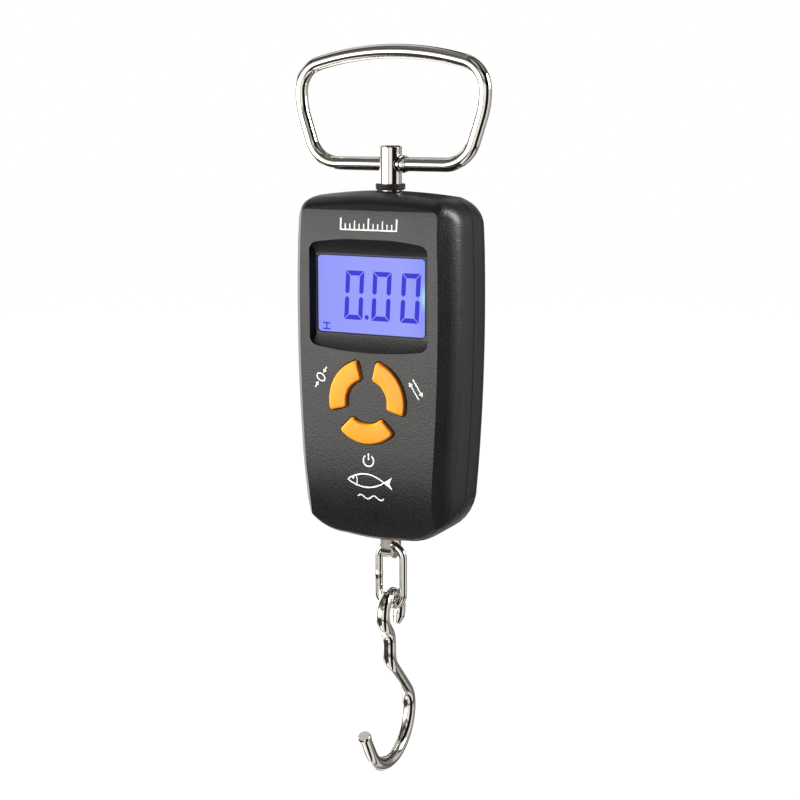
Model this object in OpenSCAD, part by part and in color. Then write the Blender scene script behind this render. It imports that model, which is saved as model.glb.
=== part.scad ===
// Digital hanging fish scale: wire handle, two-shell case with a lit display and three ring keys,
// S-shaped load cell inside, flat lug, oval link and bent-wire hook.
// Axes: +Z up, -Y towards the display, +X to the right of a person reading it.
// Origin: underside of the handle's top bar, where the scale hangs.

/* [Handle] */
// Diameter of the handle wire
wire_d = 4; // [3.6:0.1:4.4]
// Height from the pivot to the middle of the top bar
handle_rise = 31; // [28:0.5:34]
// Half length of the straight bottom bar
handle_flat = 17; // [15:0.5:18]
// Bend radius at the lower corners
handle_low_r = 9; // [8:0.5:10]

/* [Case] */
// Height of the case along the load axis
case_h = 100; // [98:1:102]
// Greatest width of the case
case_w = 52.2; // [51:0.2:53]
// Distance from the parting plane to the front face
front_depth = 14.2; // [13.8:0.1:14.8]
// Distance from the parting plane to the back face
back_depth = 9.8; // [9.6:0.1:10.2]
// Wall thickness of both shells
wall = 2; // [1.8:0.1:2.2]
// Gap between the pivot and the top of the case
neck = 7.4; // [7:0.1:8]

/* [Display] */
// Width of the display window
window_w = 34.4; // [34:0.1:35]
// Height of the display window
window_h = 22.4; // [22:0.1:23]
// Depth of the recess around the window
recess_depth = 2; // [1.8:0.1:2.2]
// Distance from the case top to the middle of the window
window_drop = 28.6; // [28:0.1:29.5]

/* [Keys] */
// Outer radius of the ring of keys
ring_r = 12.1; // [11.8:0.1:12.4]
// Inner radius of the ring of keys
ring_inner_r = 6.3; // [6:0.1:6.6]
// Half angle covered by one key
key_half_angle = 46; // [42:1:48]
// Distance from the case top to the middle of the ring
ring_drop = 58.3; // [58:0.1:59]
// How far the keys stand out of the front face
key_proud = 1; // [0.8:0.1:1.2]

/* [Hook] */
// Diameter of the hook wire
hook_d = 4; // [3.8:0.1:4.1]
// Diameter of the link wire
link_d = 2.4; // [2.2:0.1:2.5]
// Inside radius of the hook's J, to the wire centre
hook_bowl_r = 13.8; // [13:0.2:14.4]

/* [Hidden] */

$fn = 48;
wire_fn = 20;
pivot_z = -(handle_rise - wire_d / 2);
case_top = pivot_z - neck;
half_w = case_w / 2;
seam = 0.3;

// Case outline: barrelled sides, arched top and bottom
barrel_r = 627;
barrel_drop = 35;
top_r = 150;
bottom_r = 65;
// Radii of the upper and lower corners
high_r = 8;
low_r = 14;

// Wire handle
handle_bends = [[handle_low_r, 72], [22, 18], [8, 75]];
handle_leg = 6.9;

// Post and load path
post_d = 6.5;
post_hole_d = 4.8;
post_top = 5.1;
collar_d = 8.4;
collar_h = 1.5;
collar_lift = 0.4;
thread_d = 4;
cell_size = [16, 8, 30];
cell_drop = 6.5;
lug_size = [3.3, 6.9];
lug_hole_d = 5;
lug_hole_drop = 102.8;
lug_wall = 2;
lug_pin_d = 3;
lug_top_drop = 29.5;

// Board and what stands on it
board_y = -6;
board_t = 1.2;
board_w = 41;
board_top = 12.5;
board_bottom = 73.5;
board_posts = [[17.9, 45.6], [17.9, 70.5]];
case_posts = [[19.4, 9.2], [19.6, 79]];
key_centre_r = (ring_r + ring_inner_r) / 2;
key_angles = [150, 30, 270];
key_travel = 0.6;
key_gap = 0.25;
switch_w = 6;

// Batteries
cell_r = 5.25;
cell_len = 44.5;
cell_x = 9.1;
cell_y = 2.4;
cell_top = 46.4;
well_wall = 1;
well_x = cell_x + cell_r + 0.5 + well_wall;
bridge_y = 4.5;
door_size = [33, 49.6];
door_top = 43.6;
door_t = 1.6;
door_gap = 0.2;
hinge_r = 0.8;

// Link and hook
link_r = 4;
link_straight = 10.6;
eye_r = 5.4;
shank_y = -1;
bowl_y = -1.6;
wire_gap = 0.3;
lug_hole_z = case_top - lug_hole_drop;
link_edge_dip = link_r - sqrt(link_r * link_r - lug_size[0] * lug_size[0] / 4);
link_top_z = lug_hole_z - lug_hole_d / 2 + link_d / 2 + link_edge_dip + wire_gap;
link_low_z = link_top_z - link_straight - 2 * link_r;
hook_top_z = link_low_z + link_d / 2 + hook_d / 2 + wire_gap;

// Points along an arc, from angle a to angle b
function arc(cx, cy, r, a, b, n = 8) =
    [for (i = [0:n]) let (t = a + (b - a) * i / n) [cx + r * cos(t), cy + r * sin(t)]];

// Outline of one key about the ring's centre, pointing along +X
function key_outline(r0, r1, half, rc) = let (
        outer = asin(rc / (r1 - rc)),
        inner = asin(rc / (r0 + rc)),
        ao = half - outer,
        ai = half - inner,
        po = (r1 - rc) * [cos(ao), sin(ao)],
        pi = (r0 + rc) * [cos(ai), sin(ai)])
    concat(arc(0, 0, r1, -ao, ao, 16),
        arc(po[0], po[1], rc, ao, half + 90, 6),
        arc(pi[0], pi[1], rc, half + 90, ai + 180, 4),
        arc(0, 0, r0, ai, -ai, 12),
        arc(pi[0], -pi[1], rc, 180 - ai, 270 - half, 4),
        arc(po[0], -po[1], rc, 270 - half, 360 - ao, 6));

// Turns a shape drawn in X and Y so that it stands upright in X and Z and runs back along +Y
module upright(y, depth) {
    translate([0, y + depth, 0]) rotate([90, 0, 0]) linear_extrude(depth) children();
}

// Axis along Y for turned shapes: the old Z becomes +Y
module along_y(x, y, z) {
    translate([x, y, z]) rotate([-90, 0, 0]) children();
}

module rounded_rect(w, h, r) {
    polygon(concat(arc(w / 2 - r, h / 2 - r, r, 0, 90), arc(r - w / 2, h / 2 - r, r, 90, 180),
        arc(r - w / 2, r - h / 2, r, 180, 270), arc(w / 2 - r, r - h / 2, r, 270, 360)));
}

// Everything in the case is placed from the middle of its top
module in_case() {
    translate([0, 0, case_top]) children();
}

// ---- case envelope: stacked outlines, shrunk on every face by an inset ----

// How far the front face stands behind its flat middle: eased at the top, rolled back at the bottom
function face_ease(z) = z > -17 ? 1.25 * pow((z + 17) / 17, 2) : z < -76 ? 4.4 * pow((-76 - z) / 24, 2.2) : 0;

function side_x(z, os) = half_w - os - pow(z + barrel_drop, 2) / (2 * barrel_r);
function arch_z(x, ot) = -ot - x * x / (2 * top_r);
function sole_z(x, ob) = ob - case_h + x * x / (2 * bottom_r);

// Right half of one outline from the top's middle to the bottom's middle.
// os, ot and ob are the insets of the side, the top and the bottom; rho is the top corner's radius.
function half_outline(os, ot, ob, rho) = let (
        tx = side_x(-high_r, os) - rho,
        tz = arch_z(tx, ot) - rho,
        bx = side_x(low_r - case_h, 0) - low_r,
        bz = sole_z(bx, 0) + low_r,
        br = low_r - 0.9 * ob,
        ba = acos(min(1, (side_x(bz, os) - bx) / br)),
        sz = bz - br * sin(ba))
    concat([for (i = [0:5]) let (x = tx * i / 6) [x, arch_z(x, ot)]],
        [for (i = [0:8]) let (t = 90 - 11.25 * i) [tx + rho * cos(t), tz + rho * sin(t)]],
        [for (i = [1:11]) let (z = tz + (sz - tz) * i / 12) [side_x(z, os), z]],
        [for (i = [0:9]) let (t = ba + (90 - ba) * i / 9) [bx + br * cos(t), bz - br * sin(t)]],
        [for (i = [1:6]) let (x = bx * (1 - i / 6)) [x, sole_z(x, ob)]]);

function whole_outline(o) = concat(o, [for (i = [len(o) - 2:-1:1]) [-o[i][0], o[i][1]]]);

// Rows of [distance behind the face, side inset, top inset, bottom inset, top corner radius]
front_rows = [[0, 4.4, 3.5, 1.6, 1.6], [0.55, 3.98, 2.4, 0.9, 2.2], [1.5, 3.27, 1.45, 0.45, 3.2],
    [2.8, 2.28, 0.8, 0.15, 4.6], [4.6, 0.92, 0.35, 0.03, 6.6], [6.3, 0.26, 0.18, 0, 7.6], [8, 0, 0.08, 0, 8]];
// Rows of [distance ahead of the back face, side inset, top inset, bottom inset, top corner radius]
back_rows = [[4.8, 0, 0.4, 0, 7.8], [2.5, 0, 1.2, 0, 7.4], [1.25, 0.335, 1.9, 0.335, 6.9],
    [0.33, 1.25, 2.9, 1.25, 6.1], [0, 2.5, 4.3, 2.5, 5]];

function ring_points(row, y, inset, eased) = let (
        o = half_outline(row[1] + inset, row[2] + inset, row[3] + inset, max(0.6, row[4] - inset)))
    [for (p = whole_outline(o)) [p[0], y + (eased ? face_ease(p[1]) : 0), p[1]]];

// Joins rings of equal length into a closed solid; the first is capped in level strips, the last is flat
module stack(rings) {
    n = len(rings[0]);
    h = n / 2;
    k = len(rings);
    points = [for (ring = rings, p = ring) p];
    walls = [for (j = [0:k - 2], i = [0:n - 1]) let (a = j * n + i, b = j * n + (i + 1) % n)
        each [[a, a + n, b], [b, a + n, b + n]]];
    strips = [for (i = [0:h - 1]) let (r0 = i, r1 = i + 1, l0 = (n - i) % n, l1 = n - i - 1)
        each (i == 0 ? [[r0, r1, l1]] : i == h - 1 ? [[r0, r1, l0]] : [[r0, r1, l0], [l0, r1, l1]])];
    polyhedron(points, concat(strips, walls, [[for (i = [n - 1:-1:0]) (k - 1) * n + i]]));
}

// Front part of the envelope, from its face to the plane y = end
module front_block(inset, end) {
    stack(concat([for (row = front_rows) ring_points(row, inset - front_depth + row[0], inset, true)],
        [ring_points([0, 0, 0, 0, 8], end, inset, false)]));
}

// Back part of the envelope, from the plane y = start to the back face
module back_block(inset, start) {
    stack(concat([ring_points([0, 0, 0, 0, 8], start, inset, false)],
        [for (row = back_rows) ring_points(row, back_depth - inset - row[0], inset, false)]));
}

module slab(y0, y1) {
    translate([-40, y0, -120]) cube([80, y1 - y0, 140]);
}

// ---- handle ----

// Bent wire in the X and Y plane. A path row is [straight length, bend radius, bend angle], left turns
// positive; each point of the walk is [x, y, heading].
function bend_steps(r, a) = max(2, ceil(abs(a) / (r > 40 ? 3.5 : r > 10 ? 6 : 9)));
function walk(path, x, y, h, i = 0) = i == len(path) ? [] : let (
        l = path[i][0],
        r = path[i][1],
        a = path[i][2],
        s = sign(a),
        n = bend_steps(r, a),
        x1 = x + l * cos(h),
        y1 = y + l * sin(h),
        cx = x1 - s * r * sin(h),
        cy = y1 + s * r * cos(h),
        bend = a == 0 ? [] : [for (k = [1:n]) let (g = h + a * k / n)
            [cx + s * r * sin(g), cy - s * r * cos(g), g]],
        end = a == 0 ? [x1, y1, h] : bend[n - 1])
    concat(l > 0 ? [[x1, y1, h]] : [], bend, walk(path, end[0], end[1], end[2], i + 1));

// Round wire along a walk; its last ring may be drawn down to a smaller diameter
module wire(path, d, x = 0, y = 0, h = 0, end_d = 0) {
    spine = concat([[x, y, h]], walk(path, x, y, h));
    last = len(spine) - 1;
    points = [for (k = [0:last], j = [0:wire_fn - 1]) let (
            p = spine[k],
            t = 360 * j / wire_fn,
            q = (k == last && end_d > 0 ? end_d : d) / 2)
        [p[0] - q * cos(t) * sin(p[2]), p[1] + q * cos(t) * cos(p[2]), q * sin(t)]];
    sides = [for (k = [0:last - 1], j = [0:wire_fn - 1]) let (
            a = k * wire_fn + j,
            b = k * wire_fn + (j + 1) % wire_fn)
        each [[a, a + wire_fn, b], [b, a + wire_fn, b + wire_fn]]];
    polyhedron(points, concat([[for (j = [0:wire_fn - 1]) j]],
        sides, [[for (j = [wire_fn - 1:-1:0]) last * wire_fn + j]]));
}

// Where the half loop stands after its lower corner, its leg and its upper corner
low_a = handle_bends[0][1];
mid_a = low_a + handle_bends[1][1];
top_a = mid_a + handle_bends[2][1];
loop_x = handle_flat + handle_low_r * sin(low_a) + handle_leg * cos(low_a)
    + handle_bends[1][0] * (sin(mid_a) - sin(low_a)) + handle_bends[2][0] * (sin(top_a) - sin(mid_a));
loop_z = handle_low_r * (1 - cos(low_a)) + handle_leg * sin(low_a)
    + handle_bends[1][0] * (cos(low_a) - cos(mid_a)) + handle_bends[2][0] * (cos(mid_a) - cos(top_a));
arch_r = loop_x / sin(180 - top_a);
arch_rise = arch_r * (1 - cos(180 - top_a));
leg_stretch = handle_rise - loop_z - arch_rise;

// The wire starts and ends inside the post, with a small gap between its two butts
module handle() {
    butt = 0.25;
    color("silver") translate([0, 0, pivot_z]) rotate([90, 0, 0])
        wire([[handle_flat - butt, handle_low_r, low_a],
            [handle_leg, handle_bends[1][0], mid_a - low_a],
            [leg_stretch, handle_bends[2][0], top_a - mid_a],
            [0, arch_r, 2 * (180 - top_a)],
            [0, handle_bends[2][0], top_a - mid_a],
            [leg_stretch, handle_bends[1][0], mid_a - low_a],
            [handle_leg, handle_low_r, low_a],
            [handle_flat - butt, 0, 0]], wire_d, butt);
}

// ---- load path ----

module handle_post() {
    color("silver") in_case() difference() {
        union() {
            translate([0, 0, -4.5]) cylinder(h = neck + post_top + 4.5 - 0.5, d = post_d);
            translate([0, 0, neck + post_top - 0.5]) cylinder(h = 0.5, d1 = post_d, d2 = post_d - 1);
            translate([0, 0, -cell_drop - 7]) cylinder(h = cell_drop + 3, d = thread_d);
        }
        translate([-5, 0, neck]) rotate([0, 90, 0]) cylinder(h = 10, d = post_hole_d);
    }
}

module post_collar() {
    color("black") in_case() translate([0, 0, collar_lift]) difference() {
        union() {
            cylinder(h = collar_h, d = collar_d);
            translate([0, 0, -0.3]) cylinder(h = 0.3, d = collar_d - 0.8);
        }
        translate([0, 0, -1]) cylinder(h = 4, d = post_d + 0.04);
    }
}

module post_nut() {
    color("gold") in_case() translate([0, 0, -cell_drop + 0.1]) difference() {
        cylinder(h = 1.8, d = 7.4, $fn = 6);
        translate([0, 0, -1]) cylinder(h = 4, d = thread_d + 0.04);
    }
}

// S-shaped beam: two slots from opposite sides leave a thin waist with two stress holes
module load_cell() {
    w = cell_size[0];
    d = cell_size[1];
    h = cell_size[2];
    slot = 1.6;
    color("gainsboro") in_case() translate([0, 0, -cell_drop - h]) difference() {
        translate([-w / 2, -d / 2, 0]) cube([w, d, h]);
        translate([-w / 2 - 1, -d, h - 9.5]) cube([w - 3, 2 * d, slot]);
        translate([4 - w / 2, -d, 8.5]) cube([w - 3, 2 * d, slot]);
        for (z = [h / 2 - 2.6, h / 2 + 2.6])
            translate([0, d, z]) rotate([90, 0, 0]) cylinder(h = 2 * d, r = 2);
        translate([-1, -d, h / 2 - 2.6]) cube([2, 2 * d, 5.2]);
        translate([0, 0, h - 7.6]) cylinder(h = 8, d = thread_d + 0.04);
        translate([-lug_size[0] / 2 - 0.1, -d, -1]) cube([lug_size[0] + 0.2, 2 * d, 8]);
        translate([-w, 0, 3.5]) rotate([0, 90, 0]) cylinder(h = 2 * w, d = lug_pin_d + 0.02);
        for (x = [-5.6, 5.6]) translate([x, d, h - 4]) rotate([90, 0, 0]) cylinder(h = 2 * d, d = 2.2);
    }
}

module strain_gauges() {
    color("orange") in_case() for (side = [-1, 1], z = [-3.2, 3.2])
        translate([side > 0 ? 5 : -5 - 2.6, -cell_size[1] / 2 - 0.2, -cell_drop - cell_size[2] / 2 + z - 1.6])
            cube([2.6, 0.2, 3.2]);
}

// Four leads in a flat ribbon from the gauges to the board's edge
module gauge_leads() {
    color("red") in_case() for (i = [0:3]) {
        x = 8.6 + 0.7 * i;
        translate([x, -4.32, -25.5]) cylinder(h = 8.7 + 0.7 * (i - 3), d = 0.6);
        translate([x, -4.32, -25.5]) rotate([90, 0, 0]) cylinder(h = 0.46, d = 0.6);
        translate([7.7, -4.32, -16.8 + 0.7 * (i - 3)]) rotate([0, 90, 0]) cylinder(h = x - 7.7, d = 0.6);
    }
}

module lug_pin() {
    color("dimgray") in_case() translate([-cell_size[0] / 2, 0, -cell_drop - cell_size[2] + 3.5])
        rotate([0, 90, 0]) cylinder(h = cell_size[0], d = lug_pin_d);
}

module hook_lug() {
    end_r = lug_size[1] / 2;
    low = lug_hole_drop + lug_hole_d / 2 + lug_wall;
    color("silver") in_case() difference() {
        intersection() {
            translate([-lug_size[0] / 2, -end_r, -low]) cube([lug_size[0], lug_size[1], low - lug_top_drop]);
            union() {
                translate([-5, 0, end_r - low]) rotate([0, 90, 0]) cylinder(h = 10, r = end_r);
                translate([-5, -10, end_r - low]) cube([10, 20, low]);
            }
        }
        translate([-5, 0, -lug_hole_drop]) rotate([0, 90, 0]) cylinder(h = 10, d = lug_hole_d);
        translate([-5, 0, -cell_drop - cell_size[2] + 3.5]) rotate([0, 90, 0])
            cylinder(h = 10, d = lug_pin_d + 0.02);
    }
}

// ---- case shells ----

// Arched top and bottom with rounded corners
module recess_outline() {
    w = window_w / 2 + 1.3;
    crown = 15.9;
    bulge = 1.6;
    r = 2.6;
    big = (w * w + bulge * bulge) / (2 * bulge);
    z = crown - big + sqrt((big - r) * (big - r) - (w - r) * (w - r));
    t = acos((w - r) / (big - r));
    polygon(concat(arc(w - r, z, r, 0, t), arc(0, crown - big, big, t + 1, 179 - t),
        arc(r - w, z, r, 180 - t, 180), arc(r - w, -z, r, 180, 180 + t),
        arc(0, big - crown, big, 181 + t, 359 - t), arc(w - r, -z, r, 360 - t, 360)));
}

module display_recess() {
    floor_y = recess_depth - front_depth;
    w = window_w / 2;
    h = window_h / 2;
    intersection() {
        upright(-front_depth - 3, recess_depth + 3) recess_outline();
        translate([0, 0, -30]) linear_extrude(60)
            polygon([[-w - 3.6, floor_y - 5], [w + 3.6, floor_y - 5], [w + 0.25, floor_y],
                [-w - 0.25, floor_y]]);
        rotate([90, 0, 90]) translate([0, 0, -30]) linear_extrude(60)
            polygon([[floor_y - 5, -h - 11.3], [floor_y - 5, h + 11.3], [floor_y, h + 0.35],
                [floor_y, -h - 0.35]]);
    }
}

// Space for one key through the front wall
module key_hole(angle) {
    translate([0, 0, -ring_drop]) upright(-front_depth - 2, 8) rotate([0, 0, angle])
        polygon(key_outline(ring_inner_r - key_gap, ring_r + key_gap, key_half_angle + 1.6, 1 + key_gap));
}

module post_opening() {
    translate([0, 0, -8]) cylinder(h = 12, d = post_d + 0.7);
}

module lug_opening() {
    translate([-lug_size[0] / 2 - 0.4, -lug_size[1] / 2 - 0.4, -case_h - 2])
        cube([lug_size[0] + 0.8, lug_size[1] + 0.8, 8]);
}

module front_cover() {
    floor_y = recess_depth - front_depth;
    color("#262626") in_case() difference() {
        union() {
            difference() {
                front_block(0, -seam / 2);
                front_block(wall, 1);
                back_block(wall / 2 - 0.05, -1.6);
            }
            // Pan that holds the window
            translate([-window_w / 2 - 2.6, floor_y - 0.6, -window_drop - window_h / 2 - 3.4])
                cube([window_w + 5.2, 2.1, window_h + 6.8]);
            // Posts for the board and for the case screws
            for (side = [-1, 1], p = board_posts)
                along_y(side * p[0], -front_depth + 1.4, -p[1])
                    cylinder(h = front_depth - 1.4 + board_y - 0.05, r = 2.1);
            for (side = [-1, 1], p = case_posts)
                along_y(side * p[0], -front_depth + 3.2, -p[1]) cylinder(h = front_depth - 3.4, r = 2.6);
        }
        translate([0, 0, -window_drop]) display_recess();
        translate([0, 0, -window_drop]) upright(-front_depth, 6) rounded_rect(window_w, window_h, 1.4);
        for (angle = key_angles) key_hole(angle);
        for (side = [-1, 1], p = board_posts)
            along_y(side * p[0], -front_depth + 2.8, -p[1]) cylinder(h = 9, r = 0.8);
        for (side = [-1, 1], p = case_posts) along_y(side * p[0], -8, -p[1]) cylinder(h = 9, r = 0.95);
        post_opening();
        lug_opening();
    }
}

module battery_well() {
    low = cell_top + cell_len + 1.8;
    high = cell_top - 1.8;
    inner = lug_size[0] / 2 + 0.6;
    front = cell_y - cell_r - 0.5 - well_wall;
    difference() {
        translate([-well_x, front, -low - well_wall])
            cube([2 * well_x, back_depth - 1 - front, low - high + 2 * well_wall]);
        for (side = [-1, 1])
            translate([side > 0 ? inner + well_wall : -well_x + well_wall, front + well_wall, -low])
                cube([well_x - inner - 2 * well_wall, 20, low - high]);
        translate([-inner, -10, -low - 5]) cube([2 * inner, 10 + lug_size[1] / 2 + 0.5, low + 5]);
        // Slot behind the lug for the bridge between the cells
        translate([-inner - 2, bridge_y - 0.2, -low]) cube([2 * inner + 4, 1.6, 0.6]);
    }
}

module door_opening(gap, from_y) {
    translate([0, 0, -door_top - door_size[1] / 2]) upright(from_y, 10)
        rounded_rect(door_size[0] + 2 * gap, door_size[1] + 2 * gap, 0.5);
}

module rear_cover() {
    ear_x = door_size[0] / 2 + door_gap + 0.1;
    hinge_z = -door_top - door_size[1] + door_t;
    color("#242424") in_case() difference() {
        union() {
            // Shell with the lip that locates it in the front cover
            difference() {
                union() {
                    back_block(0, seam / 2);
                    back_block(wall / 2 + 0.05, -1.4);
                }
                back_block(wall, -2);
            }
            intersection() {
                battery_well();
                back_block(0.6, -8);
            }
            for (side = [-1, 1], p = case_posts)
                along_y(side * p[0], 0.1, -p[1]) cylinder(h = back_depth - 0.7, r = 3.2);
            for (side = [-1, 1]) translate([side > 0 ? ear_x : -ear_x - 2.2, 6.2, hinge_z - 1.8])
                cube([2.2, back_depth - 1 - 6.2, 4.2]);
        }
        // Rebate for the door, the way in to the cells, and room for the door's rounded foot to turn
        door_opening(door_gap, back_depth - door_t - 0.1);
        difference() {
            translate([well_x - well_wall, 3, -cell_top - cell_len - 1.8]) mirror([1, 0, 0])
                cube([2 * (well_x - well_wall), 20, cell_len + 3.6]);
            translate([-2.4, 0, -110]) cube([4.8, back_depth - door_t - 0.2, 80]);
        }
        translate([-door_size[0] / 2 - door_gap, back_depth - door_t, hinge_z]) rotate([0, 90, 0])
            cylinder(h = door_size[0] + 2 * door_gap, r = door_t + 0.25);
        for (side = [-1, 1], p = case_posts) {
            along_y(side * p[0], -1, -p[1]) cylinder(h = 20, r = 1.25);
            along_y(side * p[0], 5.4, -p[1]) cylinder(h = 20, r = 2.3);
        }
        for (side = [-1, 1]) translate([0, back_depth - door_t, hinge_z]) rotate([0, side * 90, 0])
            cylinder(h = ear_x + 1.6, r = hinge_r + 0.08);
        for (x = [-5.6, 5.6]) along_y(x, cell_size[1] / 2 + 1.9, -cell_drop - 4) cylinder(h = 20, r = 2.2);
        for (x = [-5.6, 5.6]) along_y(x, 3, -cell_drop - 4) cylinder(h = 20, r = 1.25);
        post_opening();
        lug_opening();
    }
    // Pads that carry the load cell
    color("#242424") in_case() for (x = [-5.6, 5.6])
        along_y(x, cell_size[1] / 2 + 0.02, -cell_drop - 4) difference() {
            cylinder(h = back_depth - cell_size[1] / 2 - wall + 0.5, r = 3.1);
            translate([0, 0, -1]) cylinder(h = 20, r = 1.25);
            translate([0, 0, 1.9]) cylinder(h = 20, r = 2.2);
        }
}

module battery_door() {
    hinge_z = -door_top - door_size[1] + door_t;
    color("#242424") in_case() {
        difference() {
            union() {
                difference() {
                    intersection() {
                        door_opening(0, back_depth - 3);
                        slab(back_depth - door_t, back_depth);
                    }
                    translate([-40, back_depth - door_t - 1, hinge_z - 10]) cube([80, 10, 10]);
                }
                intersection() {
                    translate([-door_size[0] / 2 + 1.4, back_depth - door_t, hinge_z]) rotate([0, 90, 0])
                        cylinder(h = door_size[0] - 2.8, r = door_t);
                    slab(back_depth - door_t, 20);
                }
            }
            // Thumb hollow with its grip steps
            for (i = [0:4]) translate([-5.5, back_depth - 0.5, -door_top - 6 - 1.6 * i]) cube([11, 1, 0.8]);
        }
        for (side = [-1, 1]) translate([side * (door_size[0] / 2 - 1.8), back_depth - door_t, hinge_z])
            rotate([0, side * 90, 0]) cylinder(h = 3.1, r = hinge_r);
    }
}

// ---- display ----

module display_window() {
    color("#9098ff") in_case() translate([0, 0, -window_drop])
        upright(recess_depth - front_depth + 0.1, 1.2) rounded_rect(window_w - 0.1, window_h - 0.1, 1.35);
}

module window_gasket() {
    color("black") in_case() translate([0, 0, -window_drop]) upright(recess_depth - front_depth + 1.5, 0.4)
        difference() {
            square([window_w + 3.4, window_h + 3.4], center = true);
            square([window_w - 0.6, window_h - 0.6], center = true);
        }
}

module lcd_glass() {
    color("#9098ff") in_case() translate([-window_w / 2 - 1.4, -10.3, -window_drop - window_h / 2 - 3.4])
        cube([window_w + 2.8, 1.7, window_h + 4.8]);
}

module backlight_guide() {
    color("white") in_case() translate([-window_w / 2 - 1.2, -8.5, -window_drop - window_h / 2 - 1.2])
        difference() {
            cube([window_w + 2.4, 2.2, window_h + 2.4]);
            for (z = [5, 11, 17]) translate([window_w + 0.9, 0.4, z]) cube([5, 1.4, 3.2]);
        }
}

module backlight_leds() {
    color("lightyellow") in_case() for (z = [5, 11, 17])
        translate([window_w / 2 - 0.1, -8, -window_drop - window_h / 2 - 1.1 + z]) cube([1.3, 1.2, 3]);
}

module contact_strip() {
    color("dimgray") in_case() translate([-14, -8.58, -window_drop - window_h / 2 - 3.4])
        cube([28, 2.56, 1.7]);
}

// ---- board ----

module main_board() {
    color("darkgreen") in_case() difference() {
        translate([-board_w / 2, board_y, -board_bottom]) cube([board_w, board_t, board_bottom - board_top]);
        for (side = [-1, 1], p = board_posts)
            along_y(side * p[0], board_y - 1, -p[1]) cylinder(h = 4, r = 1.2);
    }
}

module controller_chip() {
    color("black") in_case() intersection() {
        translate([13, board_y + board_t - 4.2, -38.8]) sphere(r = 6.2);
        slab(board_y + board_t, 2);
    }
}

module board_parts() {
    back = board_y + board_t;
    color("tan") in_case() {
        for (i = [0:4]) translate([-19, back, -18 - 4.2 * i]) cube([2.4, 0.7, 1.2]);
        for (i = [0:2]) translate([-14.5, back, -19 - 6 * i]) cube([1.2, 0.8, 2.2]);
        translate([11.5, back, -22]) cube([5, 1.4, 4]);
        along_y(-13.5, back, -40) cylinder(h = 1.8, d = 4);
    }
}

module key_spot(angle) {
    translate([key_centre_r * cos(angle), 0, key_centre_r * sin(angle) - ring_drop]) children();
}

module ring_key(angle) {
    inside = wall - front_depth;
    color("darkorange") in_case() {
        translate([0, 0, -ring_drop]) {
            upright(-front_depth - key_proud, inside + 0.5 + front_depth + key_proud) rotate([0, 0, angle])
                polygon(key_outline(ring_inner_r, ring_r, key_half_angle, 1));
            upright(inside + 0.2, 0.8) rotate([0, 0, angle])
                polygon(key_outline(ring_inner_r - 0.9, ring_r + 0.9, key_half_angle + 3, 1.2));
        }
        key_spot(angle) along_y(0, inside + 0.9, 0) cylinder(h = 1.9, r = 1.6);
    }
}

module key_switch(angle) {
    color("gray") in_case() key_spot(angle) difference() {
        translate([-switch_w / 2, -8.6, -switch_w / 2]) cube([switch_w, 8.6 + board_y, switch_w]);
        along_y(0, -9, 0) cylinder(h = 1.2 + key_travel, r = 1.5);
    }
}

module key_plunger(angle) {
    color("black") in_case() key_spot(angle)
        along_y(0, wall - front_depth + 2.8, 0) cylinder(h = 1.3, r = 1.42);
}

module tare_key() { ring_key(key_angles[0]); }
module unit_key() { ring_key(key_angles[1]); }
module power_key() { ring_key(key_angles[2]); }
module tare_switch() { key_switch(key_angles[0]); }
module unit_switch() { key_switch(key_angles[1]); }
module power_switch() { key_switch(key_angles[2]); }
module tare_plunger() { key_plunger(key_angles[0]); }
module unit_plunger() { key_plunger(key_angles[1]); }
module power_plunger() { key_plunger(key_angles[2]); }

// ---- batteries ----

module battery(side) {
    color("royalblue") in_case() translate([side * cell_x, cell_y, -cell_top - cell_len]) {
        up = side > 0;
        translate([0, 0, up ? 0 : 0.9]) cylinder(h = cell_len - 0.9, r = cell_r);
        translate([0, 0, up ? cell_len - 0.9 : 0]) cylinder(h = 0.9, r = 1.9);
    }
}

module battery_left() { battery(-1); }
module battery_right() { battery(1); }

// Coil of tilted half turns, one cell's negative contact
module coil(turns, r, pitch, d) {
    tilt = asin(pitch / 4 / r);
    for (i = [0:2 * turns - 1]) translate([0, 0, pitch / 2 * (i + 0.5)])
        rotate([0, i % 2 == 0 ? -tilt : tilt, 0]) rotate([0, 0, i % 2 == 0 ? 0 : 180])
            rotate_extrude(angle = 180, $fn = 40) translate([r, 0]) circle(d = d, $fn = 16);
}

module contact_springs() {
    color("silver") in_case() {
        translate([-cell_x, cell_y, -cell_top + 0.24]) coil(2, 2.6, 0.5, 0.45);
        translate([cell_x, cell_y, -cell_top - cell_len - 1.26]) coil(2, 2.6, 0.5, 0.45);
    }
}

module contact_plates() {
    color("gold") in_case() {
        for (side = [-1, 1])
            translate([side * cell_x - 3.5, cell_y - 3.5, -cell_top + (side > 0 ? 0.02 : 1.5)])
                cube([7, 7, 0.25]);
        // Folded edge that carries the plate of the right-hand cell
        translate([cell_x - 3.5, cell_y - 3.5, -cell_top + 0.02]) cube([7, 0.25, 1.73]);
    }
}

module bridge_plate() {
    z = -cell_top - cell_len - 1.75;
    color("gold") in_case() {
        for (side = [-1, 1]) translate([side * cell_x - 3.5, cell_y - 3.5, z]) cube([7, 7, 0.25]);
        translate([-cell_x, bridge_y, z]) cube([2 * cell_x, 1.2, 0.25]);
        translate([-cell_x, cell_y, z]) cylinder(h = 1.7, r = 2.2);
    }
}

module battery_leads() {
    color("crimson") in_case() for (side = [-1, 1]) {
        x = side * 16.4;
        translate([x, -1.2, -50]) cylinder(h = 7.4, d = 0.9);
        translate([x, -1.2, -50]) rotate([90, 0, 0]) cylinder(h = 3.6, d = 0.9);
        translate([side * 12.4, -1.2, -43]) rotate([0, side * 90, 0]) cylinder(h = 4.4, d = 0.9);
    }
}

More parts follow.
